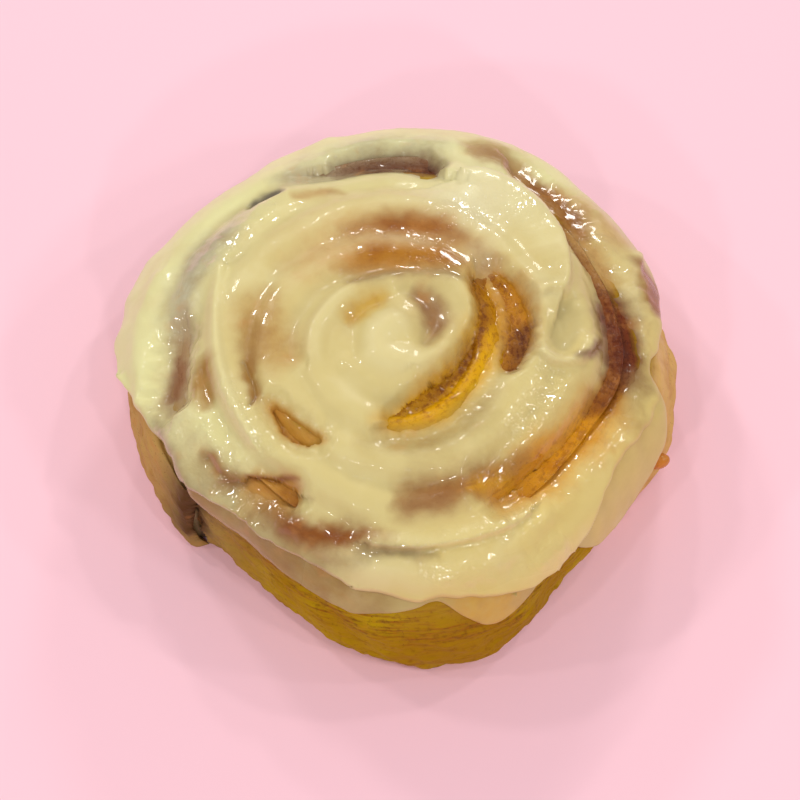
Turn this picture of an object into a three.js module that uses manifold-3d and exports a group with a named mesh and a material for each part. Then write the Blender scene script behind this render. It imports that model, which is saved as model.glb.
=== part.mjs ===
// Iced cinnamon bun: one rolled strip of dough, the cinnamon filling rolled up with it,
// and a coat of cream cheese icing spread over the top in curved strokes.
// Millimetres, +Z up. The bun stands on z = 0 and its front is -Y.
import * as THREE from "three";
import { mergeVertices } from "three/addons/utils/BufferGeometryUtils.js";
import Module from "manifold-3d";

const FULL_TURN = Math.PI * 2;

// Dough roll
const swirlX = -2.4;                      // where the roll's inner end sits
const swirlY = -7.3;
const doughTop = 36.5;                    // height of the crown over the swirl
const widestAt = 10;                      // height of the widest level of the side
const domeFullness = 2.7;                 // 2 is an ellipse, more is squarer
const innerRoundness = 50;                // the inner turns are rounder than the outside
const footprint = [53.5, 55.2, 58.6, 61.0, 59.8, 56.2, 53.8, 52.0, 47.0, 40.9, 38.0, 39.9, 45.2, 47.5, 43.6, 46.2];
const rollTurns = 5.5;                    // turns from the inner end to the tail
const tailAngle = THREE.MathUtils.degToRad(216);
const turnPitch = 0.163;                  // share of the radius that one turn takes
const outerSeam = 0.83;                   // level of the seam once it has left the surface
const seamLeadIn = 38 / 360;              // turns that the seam takes to get there
const flapRise = 0.07;                    // how proud the tail lies on the turn below it
const flapLength = 60 / 360;
const footPinch = 0.055;                  // how far the side rounds in towards the base
const furrowDepth = 3.0;                  // between one turn and the next, on top
const seamGap = 1.0;                      // half the room that the filling has
const columnsPerTurn = 48;

// Cinnamon filling
const fillingHalf = 0.65;                 // half its thickness
const fillingFoot = 0.8;                  // clear of what the bun stands on
const fillingAboveFurrow = 0.8;

// Icing
const icingGap = 0.5;                     // between the dough's crowns and the coat
const icingCoat = 1.9;                    // its thickness over a crown
const icingThinning = 1.1;                // how much thinner it is over a furrow
const icingSag = 1.3;                     // how far its underside sinks into a furrow
const icingThinEdge = 0.6;
const icingTailSlope = 14 / 360;          // turns over which it runs down past the tail
const icingHem = [23, 21, 18, 16, 15, 15, 16, 18, 19.5, 23.5, 18, 21, 23.3, 17.5, 15.5, 16];
const icingColumns = 64;
const coatTurns = 5;                      // seams that its rows follow
const rimRows = 5;                        // from the outermost seam to the hem
const overShares = [0.2, 0.5, 0.8];       // rows between two seams, on top
const underShares = [0.3, 0.7];           // and on the underside

// Strokes of the palette knife: a path over the top, half the stroke's width and its height
const strokes = [
  { path: [[-9, -7], [-6, -11.5], [-1.5, -12], [1, -8], [-1.5, -3.5], [-5.5, -3]], reach: 3.4, rise: 1.4 },
  { path: [[10, 34], [21.9, 23.2], [26.3, 17.7], [28.8, 11], [30.3, 5.5]], reach: 4.6, rise: 1.7 },
  { path: [[31, 3], [33, -2], [30, -5], [27.5, -3]], reach: 3.6, rise: -1.3 },
  { path: [[-29, -33], [-17, -41], [-5, -46], [8.5, -47], [22, -41], [33, -30], [41, -18]], reach: 4.0, rise: 1.3 },
  { path: [[20.5, -34], [12, -39.6], [0, -42.6], [-6, -42]], reach: 1.7, rise: 1.2 },
  { path: [[-30, 6], [-29.6, -8], [-27, -17], [-22, -24]], reach: 3.0, rise: 0.8 },
  { path: [[1.8, 7.5], [6.2, 2.4], [7.1, -3.9], [4.5, -9]], reach: 2.4, rise: -1.3 },
  { path: [[-2.6, 4.4], [-7, 2.3], [-10, -2.5]], reach: 2.2, rise: -0.9 },
];

// Windows left between the strokes, where the roll shows: a path and its half widths
const windows = [
  { path: [[13.6, 8.4], [14.7, 1.5], [12.6, -6.3], [7.4, -14], [-0.3, -20.8]], half: [0.5, 1.5, 1.6, 1.9, 0.6] },
  { path: [[16.4, 10.8], [20, 2.4], [20.6, -4.3], [19.5, -8.6]], half: [0.5, 1.3, 1.5, 0.5] },
  { path: [[-11, 33.6], [-3.7, 36.4], [1.9, 36.2], [6, 34]], half: [0.6, 1.7, 2.0, 0.8] },
  { path: [[15, 40.2], [24.4, 34.6], [30, 25.6], [33, 16], [36, 8.6]], half: [0.5, 1.2, 1.4, 1.2, 0.5] },
  { path: [[38.4, 7.2], [39.2, 1], [38.4, -6], [35.4, -13.6], [31, -21.2], [24.4, -28.8], [16, -34]],
    half: [0.6, 2.2, 2.6, 1.8, 1.5, 1.3, 0.5] },
  { path: [[-38, -2.6], [-38.3, -9.4], [-39, -15]], half: [0.5, 1.1, 0.5] },
  { path: [[-21.2, -18.2], [-18.7, -21.7], [-14.6, -24.4]], half: [0.4, 1.2, 0.5] },
  { path: [[-26, -29.8], [-22.1, -32], [-17.6, -34]], half: [0.4, 1.1, 0.4] },
];

// Closed curve through evenly spaced values, at t values along it
function along(values, t) {
  const count = values.length;
  const whole = Math.floor(t);
  const f = t - whole;
  const at = (step) => values[(((whole + step) % count) + count) % count];
  const slope = at(1) - at(-1);
  const bend = 2 * at(-1) - 5 * at(0) + 4 * at(1) - at(2);
  const twist = 3 * (at(0) - at(1)) + at(2) - at(-1);
  return at(0) + 0.5 * f * (slope + f * (bend + f * twist));
}

function outline(angle) {
  return along(footprint, (angle / FULL_TURN) * footprint.length);
}

// Radius about the swirl at a level: 0 on the axis, 1 on the outside
function ring(angle, level) {
  return level * (innerRoundness + (outline(angle) - innerRoundness) * level);
}

function levelOf(angle, radius) {
  const spread = outline(angle) - innerRoundness;
  const root = Math.sqrt(Math.max(0, innerRoundness ** 2 + 4 * spread * radius));
  return (2 * radius) / (innerRoundness + root);
}

function domeHeight(level) {
  const inside = Math.max(0, 1 - Math.min(1, level) ** domeFullness);
  return widestAt + (doughTop - widestAt) * inside ** (1 / domeFullness);
}

function levelAtHeight(z) {
  const up = (z - widestAt) / (doughTop - widestAt);
  return (1 - up ** domeFullness) ** (1 / domeFullness);
}

// Level of the seam, turns counted back from the tail: it meets the surface after one turn
function seamLevel(turnsBack) {
  const lead = THREE.MathUtils.smoothstep(turnsBack - 1, 0, seamLeadIn);
  const inner = outerSeam - turnPitch * Math.max(0, turnsBack - 1 - seamLeadIn);
  return 1 - lead + lead * inner;
}

// The outer seam leans inwards as it climbs, as the turn outside lies against the side
function seamTopLevel(level) {
  return level - 0.075 * level ** 12;
}

// Swell of the outer turn where its tail lies on the turn below
function flapAt(turnsBack) {
  return flapRise * Math.max(0, 1 - turnsBack / flapLength) ** 1.5;
}

function footRadius(angle, level, z) {
  const tuck = footPinch * ((widestAt - z) / widestAt) ** 2.2;
  return ring(angle, level) * (1 - tuck * level ** 12);
}

function point(angle, radius, z) {
  return new THREE.Vector3(swirlX + radius * Math.cos(angle), swirlY + radius * Math.sin(angle), z);
}

// Both sides of a seam, from its top edge down to the height foot
function seamWall(angle, level, offset, top, foot) {
  const radius = ring(angle, seamTopLevel(level)) + offset;
  const wall = [point(angle, radius, top)];
  if (level > 0.84) {
    wall.push(point(angle, ring(angle, level) + offset, widestAt));
    wall.push(point(angle, footRadius(angle, level, 4) + offset, 4));
  }
  wall.push(point(angle, footRadius(angle, level, foot) + offset, foot));
  return wall;
}

// Triangles between two lines of points, a and the next one anticlockwise, b. Lines of as
// many points are joined pair by pair, with diagonals that start on a or on b, and others
// are joined by the share of their length.
function zip(triangles, a, b, pairing = "a") {
  const shares = (line) => {
    const lengths = [0];
    for (let i = 1; i < line.length; i += 1) {
      lengths.push(lengths[i - 1] + line[i].distanceTo(line[i - 1]) + 1e-6);
    }
    return lengths.map((length) => length / lengths[lengths.length - 1]);
  };
  const shareA = shares(a);
  const shareB = shares(b);
  let i = 0;
  let j = 0;
  while (i < a.length - 1 || j < b.length - 1) {
    const paired = pairing === "b" ? j > i : i === j;
    const shorter = j === b.length - 1 || (i < a.length - 1 && shareA[i + 1] <= shareB[j + 1]);
    if (a.length === b.length && pairing !== "share" ? paired : shorter) {
      triangles.push(a[i], a[i + 1], b[j]);
      i += 1;
    } else {
      triangles.push(a[i], b[j + 1], b[j]);
      j += 1;
    }
  }
}

function geometryOf(triangles) {
  const soup = new THREE.BufferGeometry().setFromPoints(triangles);
  const welded = mergeVertices(soup, 1e-4);
  const kept = [];
  const index = welded.index.array;
  for (let i = 0; i < index.length; i += 3) {
    const [p, q, r] = [index[i], index[i + 1], index[i + 2]];
    if (p !== q && q !== r && r !== p) {
      kept.push(p, q, r);
    }
  }
  welded.setIndex(kept);
  return welded;
}

// One section across the dough strip, turnsBack from the tail
function doughColumn(turnsBack) {
  const angle = tailAngle - turnsBack * FULL_TURN;
  const hasInner = turnsBack + 1 <= rollTurns + 1e-9;
  const isOuter = turnsBack < 1 - 1e-9;
  const innerLevel = hasInner ? seamLevel(turnsBack + 1) : 0;
  const start = hasInner ? ring(angle, seamTopLevel(innerLevel)) + seamGap : 0;
  const flap = isOuter ? flapAt(turnsBack) : 0;
  const outerLevel = isOuter ? 0.95 : seamTopLevel(seamLevel(turnsBack));
  const end = isOuter ? ring(angle, 0.95) * (1 + flap) : ring(angle, outerLevel) - seamGap;
  const shares = hasInner ? [0, 0.1, 0.35, 0.65, 0.9, 1] : [0, 0.3, 0.6, 0.85, 1];
  const top = shares.map((share) => {
    const radius = start + share * (end - start);
    const fromInner = hasInner ? Math.max(0, 1 - 2 * share) ** 2.6 : 0;
    const fromOuter = isOuter ? 0 : Math.max(0, 2 * share - 1) ** 2.6;
    const level = levelOf(angle, radius / (1 + flap));
    return point(angle, radius, domeHeight(level) - furrowDepth * (fromInner + fromOuter));
  });
  let side;
  if (isOuter) {
    const swell = 1 + flap;
    side = [top[top.length - 1]];
    for (const level of [0.975, 0.992]) {
      side.push(point(angle, ring(angle, level) * swell, domeHeight(level)));
    }
    for (const z of [widestAt, 6.5, 3.5, 1.2, 0]) {
      side.push(point(angle, footRadius(angle, 1, z) * swell, z));
    }
  } else {
    side = seamWall(angle, seamLevel(turnsBack), -seamGap, top[top.length - 1].z, 0);
  }
  const foot = side[side.length - 1];
  if (!hasInner) {
    return { top, side, base: [foot, point(angle, 0, 0)], wall: null };
  }
  const wall = seamWall(angle, innerLevel, seamGap, top[0].z, 0).reverse();
  return { top, side, base: [foot, wall[0]], wall };
}

function joinColumns(triangles, a, b) {
  zip(triangles, a.top, b.top);
  zip(triangles, a.side, b.side);
  zip(triangles, a.base, b.base);
  if (a.wall && b.wall) {
    zip(triangles, a.wall, b.wall, "b");
  }
}

// Flat end across the strip: section outline filled on its (radius, z) plane
function capColumn(triangles, column, angle) {
  const rim = [...column.top, ...column.side.slice(1), ...column.base.slice(1), ...column.wall.slice(1, -1)];
  const flat = rim.map((p) => new THREE.Vector2(Math.hypot(p.x - swirlX, p.y - swirlY), p.z));
  for (const [a, b, c] of THREE.ShapeUtils.triangulateShape(flat, [])) {
    const normal = new THREE.Triangle(rim[a], rim[b], rim[c]).getNormal(new THREE.Vector3());
    const ahead = normal.dot(new THREE.Vector3(-Math.sin(angle), Math.cos(angle), 0)) > 0;
    triangles.push(rim[a], ...(ahead ? [rim[b], rim[c]] : [rim[c], rim[b]]));
  }
}

function doughGeometry() {
  const triangles = [];
  const last = Math.round(rollTurns * columnsPerTurn);
  const core = doughColumn(rollTurns);
  for (let i = 0; i < last; i += 1) {
    const from = doughColumn(rollTurns - i / columnsPerTurn);
    const to = doughColumn(rollTurns - (i + 1) / columnsPerTurn);
    if (i + 1 === columnsPerTurn) {
      // The first turn closes on itself here, and the seam starts with an end wall
      const closed = { ...to, wall: null };
      closed.top = [...core.top, ...to.top];
      closed.base = [to.base[0], to.base[1], core.base[0], core.base[1]];
      joinColumns(triangles, { ...from, wall: null }, closed);
      const outer = to.wall;
      triangles.push(core.side[0], outer[0], core.side[1]);
      triangles.push(core.side[0], outer.at(-1), outer[0]);
    } else {
      joinColumns(triangles, from, to);
    }
  }
  capColumn(triangles, doughColumn(0), tailAngle);
  return geometryOf(triangles);
}

// The filling: a thin wall that follows the seam from its inner end out to the tail
function fillingColumn(turnsBack) {
  const angle = tailAngle - turnsBack * FULL_TURN;
  const level = seamLevel(turnsBack);
  const top = domeHeight(seamTopLevel(level)) - furrowDepth + fillingAboveFurrow;
  const inner = seamWall(angle, level, -fillingHalf, top, fillingFoot);
  const outer = seamWall(angle, level, fillingHalf, top, fillingFoot);
  return { top: [inner[0], outer[0]], side: outer, base: [outer.at(-1), inner.at(-1)], wall: inner.reverse() };
}

function fillingGeometry() {
  const triangles = [];
  const steps = [rollTurns - 0.5 / columnsPerTurn];
  for (let i = 1; i < (rollTurns - 1) * columnsPerTurn; i += 1) {
    steps.push(rollTurns - i / columnsPerTurn);
  }
  steps.push(1.006);
  const columns = steps.map(fillingColumn);
  for (let i = 0; i + 1 < columns.length; i += 1) {
    joinColumns(triangles, columns[i], columns[i + 1]);
  }
  capColumn(triangles, columns.at(-1), tailAngle - steps.at(-1) * FULL_TURN);
  const start = [];
  capColumn(start, columns[0], tailAngle - steps[0] * FULL_TURN);
  for (let i = 0; i < start.length; i += 3) {
    triangles.push(start[i], start[i + 2], start[i + 1]);
  }
  return geometryOf(triangles);
}

function distanceToPath(path, x, y) {
  let nearest = Infinity;
  for (let i = 0; i + 1 < path.length; i += 1) {
    const [ax, ay] = path[i];
    const [bx, by] = path[i + 1];
    const run = (bx - ax) ** 2 + (by - ay) ** 2;
    const share = THREE.MathUtils.clamp(((x - ax) * (bx - ax) + (y - ay) * (by - ay)) / run, 0, 1);
    nearest = Math.min(nearest, Math.hypot(x - ax - share * (bx - ax), y - ay - share * (by - ay)));
  }
  return nearest;
}

// Level of a seam as the coat follows it, in an even spiral
function evenSeam(turnsBack) {
  return outerSeam - turnPitch * (turnsBack - 1 - seamLeadIn);
}

function turnsPast(angle) {
  const turns = (tailAngle - angle) / FULL_TURN;
  return turns - Math.floor(turns);
}

// 1 in a furrow between two turns, 0 on the crown of a turn
function furrowShare(angle, level) {
  const turnsBack = 1 + seamLeadIn + (outerSeam - level) / turnPitch;
  const phase = turnsBack - turnsPast(angle);
  const fade = THREE.MathUtils.smoothstep(level, 0.08, 0.2) * (1 - THREE.MathUtils.smoothstep(level, 0.87, 0.95));
  return fade * (0.5 + 0.5 * Math.cos(FULL_TURN * phase)) ** 1.5;
}

// How far the coat's underside sinks: only where the dough has a furrow below it
function icingSink(angle, level) {
  const turnsBack = 1 + seamLeadIn + (outerSeam - level) / turnPitch;
  const nearest = turnsPast(angle) + Math.round(turnsBack - turnsPast(angle));
  const begun = THREE.MathUtils.smoothstep(nearest, 1.06, 1.16);
  const ended = 1 - THREE.MathUtils.smoothstep(nearest, rollTurns - 0.3, rollTurns - 0.1);
  return icingSag * begun * ended * furrowShare(angle, level);
}

// Thickness of the icing at a place on the top
function icingThickness(angle, level) {
  const radius = ring(angle, level);
  const x = swirlX + radius * Math.cos(angle);
  const y = swirlY + radius * Math.sin(angle);
  let thickness = icingCoat - icingThinning * furrowShare(angle, level);
  for (const stroke of strokes) {
    thickness += stroke.rise * Math.exp(-((distanceToPath(stroke.path, x, y) / stroke.reach) ** 2));
  }
  return Math.max(thickness, icingThinEdge);
}

// The coat follows the tail's swell and runs down to the turn below just past its end
function coatSwell(angle, level) {
  const back = turnsPast(angle);
  const past = Math.min(1, 1.2 - (1 - back) / icingTailSlope);
  return (back < 0.5 ? flapAt(back) : flapRise * Math.max(0, past)) * THREE.MathUtils.smoothstep(level, 0.76, 0.88);
}

// A point of the coat: lean is the angle down from the top of the dome, out from its surface
function domePoint(angle, lean, out) {
  const reach = (Math.sin(lean) ** domeFullness + Math.cos(lean) ** domeFullness) ** (-1 / domeFullness);
  const level = reach * Math.sin(lean);
  const up = reach * Math.cos(lean);
  const height = doughTop - widestAt;
  const normal = new THREE.Vector2(level ** (domeFullness - 1) / outline(angle), up ** (domeFullness - 1) / height);
  normal.normalize();
  const radius = ring(angle, level) * (1 + coatSwell(angle, level));
  return point(angle, radius + out * normal.x, widestAt + height * up + out * normal.y);
}

function leanOf(level) {
  return Math.atan2(level, (1 - level ** domeFullness) ** (1 / domeFullness));
}

function hemLean(angle) {
  const waves = 0.7 * Math.sin(7 * angle + 1) + 0.5 * Math.sin(10 * angle + 2.3);
  const height = along(icingHem, (angle / FULL_TURN) * icingHem.length) + waves;
  return leanOf(levelAtHeight(height));
}

// Leans of the coat's rows at an angle, from the swirl to the hem: they follow the seams
function coatLeans(angle, shares) {
  const past = turnsPast(angle);
  const leans = [0, 0.6 * leanOf(evenSeam(past + coatTurns))];
  for (let turn = coatTurns; turn > 1; turn -= 1) {
    const level = evenSeam(past + turn);
    leans.push(leanOf(level));
    leans.push(...shares.map((share) => leanOf(level + share * turnPitch)));
  }
  const outer = leanOf(evenSeam(past + 1));
  for (let i = 0; i <= rimRows; i += 1) {
    leans.push(outer + ((hemLean(angle) - outer) * i) / rimRows);
  }
  return leans;
}

function levelAtLean(lean) {
  const reach = (Math.sin(lean) ** domeFullness + Math.cos(lean) ** domeFullness) ** (-1 / domeFullness);
  return reach * Math.sin(lean);
}

function icingGeometry() {
  const triangles = [];
  const columns = [];
  for (let i = 0; i <= icingColumns; i += 1) {
    const angle = ((i % icingColumns) / icingColumns) * FULL_TURN;
    const hem = hemLean(angle);
    const sunk = (level) => icingGap - icingSink(angle, level);
    const over = coatLeans(angle, overShares).map((lean) => {
      const level = levelAtLean(lean);
      const rounding = Math.sqrt(Math.min(1, (hem - lean) / 0.16 + 0.08));
      return domePoint(angle, lean, sunk(level) + icingThickness(angle, level) * rounding);
    });
    const under = coatLeans(angle, underShares).map((lean) => domePoint(angle, lean, sunk(levelAtLean(lean))));
    columns.push({ angle, over, edge: [over.at(-1), under.at(-1)], under: under.reverse() });
  }
  for (let i = 0; i < icingColumns; i += 1) {
    const [here, next] = [columns[i], columns[i + 1]];
    const pairing = turnsPast(here.angle) < turnsPast(next.angle) ? "share" : "a";
    zip(triangles, here.over, next.over, pairing);
    zip(triangles, here.edge, next.edge);
    zip(triangles, here.under, next.under, pairing);
  }
  return geometryOf(triangles);
}

// Upright block with a window's outline, for cutting it out of the coat
function windowBlock({ path, half }) {
  const curve = new THREE.CatmullRomCurve3(path.map(([x, y]) => new THREE.Vector3(x, y, 0)));
  const count = 3 * (path.length - 1);
  const near = [];
  const far = [];
  for (let i = 0; i <= count; i += 1) {
    const t = i / count;
    const spot = curve.getPoint(t);
    const ahead = curve.getTangent(t);
    const place = t * (half.length - 1);
    const index = Math.min(half.length - 2, Math.floor(place));
    const width = THREE.MathUtils.lerp(half[index], half[index + 1], place - index);
    near.push(new THREE.Vector2(spot.x - ahead.y * width, spot.y + ahead.x * width));
    far.push(new THREE.Vector2(spot.x + ahead.y * width, spot.y - ahead.x * width));
  }
  const shape = new THREE.Shape([...far, ...near.reverse()]);
  const block = new THREE.ExtrudeGeometry(shape, { depth: 40, bevelEnabled: false, curveSegments: 1 });
  block.translate(0, 0, widestAt);
  return block;
}

const solids = await Module();
solids.setup();

function toSolid(geometry) {
  const bare = new THREE.BufferGeometry();
  bare.setAttribute("position", geometry.getAttribute("position"));
  bare.setIndex(geometry.index);
  const welded = mergeVertices(bare, 1e-4);
  const vertProperties = new Float32Array(welded.getAttribute("position").array);
  const triVerts = new Uint32Array(welded.index.array);
  const mesh = new solids.Mesh({ numProp: 3, vertProperties, triVerts });
  mesh.merge();
  return new solids.Manifold(mesh);
}

function fromSolid(solid) {
  const mesh = solid.getMesh();
  const geometry = new THREE.BufferGeometry();
  geometry.setAttribute("position", new THREE.BufferAttribute(mesh.vertProperties, 3));
  geometry.setIndex(new THREE.BufferAttribute(mesh.triVerts, 1));
  return geometry;
}

function named(name, geometry, color, roughness) {
  geometry.computeVertexNormals();
  const material = new THREE.MeshStandardMaterial({ color, roughness, metalness: 0, flatShading: true });
  const mesh = new THREE.Mesh(geometry, material);
  mesh.name = name;
  return mesh;
}

let coat = toSolid(icingGeometry());
for (const pane of windows) {
  coat = coat.subtract(toSolid(windowBlock(pane)));
}

const bun = new THREE.Group();
bun.name = "cinnamon_bun";
bun.add(named("dough", doughGeometry(), 0xb98a3c, 0.75));
bun.add(named("cinnamon_filling", fillingGeometry(), 0x5e2b14, 0.45));
bun.add(named("icing", fromSolid(coat), 0xe8deb4, 0.35));

// The middle of the bun's outline stands over the origin
bun.updateMatrixWorld(true);
const extent = new THREE.Box3().setFromObject(bun, true);
const middle = extent.getCenter(new THREE.Vector3());
bun.position.set(-middle.x, -middle.y, 0);

export default bun;
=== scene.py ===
import math

import bmesh
import bpy
import numpy as np
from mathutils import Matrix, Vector


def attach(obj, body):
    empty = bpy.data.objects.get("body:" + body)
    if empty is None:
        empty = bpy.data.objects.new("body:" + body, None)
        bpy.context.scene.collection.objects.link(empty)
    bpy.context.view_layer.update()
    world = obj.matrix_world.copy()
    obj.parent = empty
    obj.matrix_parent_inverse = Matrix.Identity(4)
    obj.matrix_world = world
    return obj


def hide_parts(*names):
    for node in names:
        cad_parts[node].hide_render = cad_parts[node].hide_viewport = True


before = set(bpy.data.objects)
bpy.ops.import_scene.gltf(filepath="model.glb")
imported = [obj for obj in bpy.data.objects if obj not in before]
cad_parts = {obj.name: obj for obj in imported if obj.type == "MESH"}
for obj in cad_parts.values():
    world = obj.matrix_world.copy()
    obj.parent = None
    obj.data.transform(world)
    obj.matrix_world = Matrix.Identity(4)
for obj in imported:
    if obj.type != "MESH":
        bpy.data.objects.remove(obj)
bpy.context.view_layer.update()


# The dough: one long strip of soft yeast dough, rolled up from the middle into five and a half
# turns, proved and baked golden. Its loose end lies on the turn below it at the front left.
# Millimetres until the mesh is written; a level is 0 on the roll's axis and 1 on its outside.
middle = np.array([-2.4, -7.3])
shift = np.array([-0.054, -0.435, 0.0])
dough_top = 36.5
widest_at = 10.0
dome_fullness = 2.7
inner_roundness = 50.0
footprint = [53.6, 55.1, 57.4, 60.6, 58.8, 54.8, 52.8, 50.4, 46.2, 41.1, 38.3, 40.5, 45.8, 48.2, 44.2, 46.2]
roll_turns = 5.5
tail_angle = math.radians(210)
turn_pitch = 0.163
outer_seam = 0.83
seam_lead_in = 38 / 360
flap_rise = 0.07
flap_length = 60 / 360
flap_from, flap_full = 0.76, 0.88
foot_pinch = 0.055
foot_curve = 2.2
edge_hold = 12
seam_tuck = 0.075
core_gap = 0.01
furrow_depth = 3.0
furrow_curve = 2.6
slot_width = 1.7
slot_floor = -2.0
slot_headroom = 8.0
tail_end = 0.0035
usual_radius = 45.0
far_away = 99.0
dough_steps = 264
base_rings = [0.985, 0.9, 0.7, 0.4]
slot_steps, slot_rows = 1300, 6


def between(before, here, after, later, f):
    """A smooth curve's value a share f of the way from here to after."""
    bend = 2 * before - 5 * here + 4 * after - later
    twist = 3 * (here - after) + later - before
    return here + 0.5 * f * (after - before + f * (bend + f * twist))


def along(values, t):
    """A closed smooth curve through evenly spaced values."""
    values = np.asarray(values, float)
    whole = np.floor(t).astype(int)
    near = [values[(whole + step) % len(values)] for step in (-1, 0, 1, 2)]
    return between(*near, t - whole)


def ease(value, start, end):
    """0 before start, 1 after end, and smooth between them."""
    share = np.clip((value - start) / (end - start), 0, 1)
    return share * share * (3 - 2 * share)


def outline(angle):
    return along(footprint, np.mod(angle, 2 * np.pi) / (2 * np.pi) * len(footprint))


def ring(angle, level):
    return level * (inner_roundness + (outline(angle) - inner_roundness) * level)


def level_at(angle, radius):
    spread = outline(angle) - inner_roundness
    return 2 * radius / (inner_roundness + np.sqrt(np.maximum(0, inner_roundness**2 + 4 * spread * radius)))


def dome_height(level):
    inside = np.maximum(0, 1 - np.minimum(1, level) ** dome_fullness)
    return widest_at + (dough_top - widest_at) * inside ** (1 / dome_fullness)


def lean_at(level):
    level = np.minimum(level, 1)
    return np.arctan2(level, np.maximum(0, 1 - level**dome_fullness) ** (1 / dome_fullness))


def level_and_rise(lean):
    """Level of a place on the dome, and its height as a share, from its lean off the vertical."""
    reach = (np.sin(lean) ** dome_fullness + np.abs(np.cos(lean)) ** dome_fullness) ** (-1 / dome_fullness)
    return reach * np.sin(lean), reach * np.cos(lean)


def seam_level(turns_back):
    lead = ease(turns_back - 1, 0, seam_lead_in)
    inner = outer_seam - turn_pitch * np.maximum(0, turns_back - 1 - seam_lead_in)
    return 1 - lead + lead * inner


def seam_top(level):
    return level - seam_tuck * level**edge_hold


def turns_past(angle):
    return np.mod((tail_angle - angle) / (2 * np.pi), 1)


def tail_swell(turns_back, level, behind_end):
    """How far the loose end stands out, as a share of the radius, before and behind its end."""
    on_tail = flap_rise * np.maximum(0, 1 - turns_back / flap_length) ** 1.5
    on_side_of_tail = ease(level, flap_from, flap_full)
    return np.where(turns_back < 0.5, on_tail, flap_rise * behind_end) * on_side_of_tail


def foot_radius(angle, level, z):
    tuck = foot_pinch * (np.maximum(0, widest_at - z) / widest_at) ** foot_curve
    return ring(angle, level) * (1 - tuck * level**edge_hold)


def furrow_drop(angle, level):
    """How far the top lies below the dome, from the walls between the turns at that angle."""
    back = turns_past(angle)
    drop = np.zeros_like(level)
    outer = np.ones_like(level)
    for turn in range(1, math.ceil(roll_turns) + 1):
        rolled = back + turn <= roll_turns
        wall = np.where(rolled, seam_top(seam_level(back + turn)), 0)
        share = (level - wall) / np.maximum(outer - wall, 1e-6)
        inner_side = np.where(rolled, np.maximum(0, 1 - 2 * share) ** furrow_curve, 0)
        outer_side = np.maximum(0, 2 * share - 1) ** furrow_curve if turn > 1 else 0
        drop = np.where((level <= outer) & (level > wall), furrow_depth * (inner_side + outer_side), drop)
        outer = wall
    return drop


def mottle(x, y, size, seed, cells=61):
    """Smooth uneven values from -1 to 1, in patches of a size."""
    table = np.random.default_rng(seed).uniform(-1, 1, (cells, cells))
    u, v = np.asarray(x) / size, np.asarray(y) / size
    i, j = np.floor(u).astype(int), np.floor(v).astype(int)
    fu, fv = u - i, v - j
    fu, fv = fu**3 * (fu * (6 * fu - 15) + 10), fv**3 * (fv * (6 * fv - 15) + 10)
    i0, i1, j0, j1 = i % cells, (i + 1) % cells, j % cells, (j + 1) % cells
    low = table[i0, j0] * (1 - fu) + table[i1, j0] * fu
    high = table[i0, j1] * (1 - fu) + table[i1, j1] * fu
    return low * (1 - fv) + high * fv


def number_corners(sheet):
    """Each corner keeps the number that it has now, in a layer of the mesh."""
    number = sheet.verts.layers.int.new("number")
    for count, corner in enumerate(sheet.verts):
        corner[number] = count


def round_sheet(steps):
    """A square grid pulled out to a disc, with the angle and the share of the radius of each vertex."""
    sheet = bmesh.new()
    bmesh.ops.create_grid(sheet, x_segments=steps, y_segments=steps, size=1)
    u, v = np.array([corner.co[:2] for corner in sheet.verts]).T
    share = np.maximum(abs(u), abs(v))
    wide = abs(u) >= abs(v)
    slope = np.where(wide, v, u) / np.where(share < 1e-9, 1, np.where(wide, u, v))
    angle = np.where(wide, slope * np.pi / 4 + np.where(u < 0, np.pi, 0),
                     np.pi / 2 - slope * np.pi / 4 + np.where(v < 0, np.pi, 0))
    number_corners(sheet)
    return sheet, angle, share


def place(angle, radius, z):
    """Points about the roll's axis, in metres."""
    spots = np.stack([middle[0] + radius * np.cos(angle), middle[1] + radius * np.sin(angle),
                      np.broadcast_to(z, angle.shape)], axis=-1)
    return (spots + shift) / 1000


def corner_places(mesh):
    """Each corner's x, y and z in millimetres, and its angle and radius about the roll's axis."""
    at = np.zeros(len(mesh.vertices) * 3, np.float32)
    mesh.vertices.foreach_get("co", at)
    x, y, z = (at.reshape(-1, 3) * 1000 - shift).T.astype(float)
    return x, y, z, np.arctan2(y - middle[1], x - middle[0]), np.hypot(x - middle[0], y - middle[1])


def strand_way(across, angle):
    """Coordinates in which a pattern is drawn out along the strands that run round the roll."""
    return np.stack([across, 7 * np.cos(angle), 7 * np.sin(angle)], axis=-1)


def as_modified(thing):
    """The mesh that the modifiers of a thing make of it."""
    bpy.context.view_layer.update()
    result = thing.evaluated_get(bpy.context.evaluated_depsgraph_get())
    return bpy.data.meshes.new_from_object(result)


def set_attribute(mesh, name, kind, values):
    layer = mesh.attributes.new(name, kind, "POINT")
    field = {"FLOAT": "value", "FLOAT_VECTOR": "vector", "FLOAT_COLOR": "color"}[kind]
    layer.data.foreach_set(field, np.ascontiguousarray(values, np.float32).ravel())


def finished(name, mesh, node, material):
    piece = bpy.data.objects.new(name, mesh)
    bpy.context.scene.collection.objects.link(piece)
    mesh.materials.clear()
    mesh.materials.append(material)
    mesh.polygons.foreach_set("use_smooth", np.ones(len(mesh.polygons), bool))
    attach(piece, "root")
    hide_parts(node)
    return piece


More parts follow.
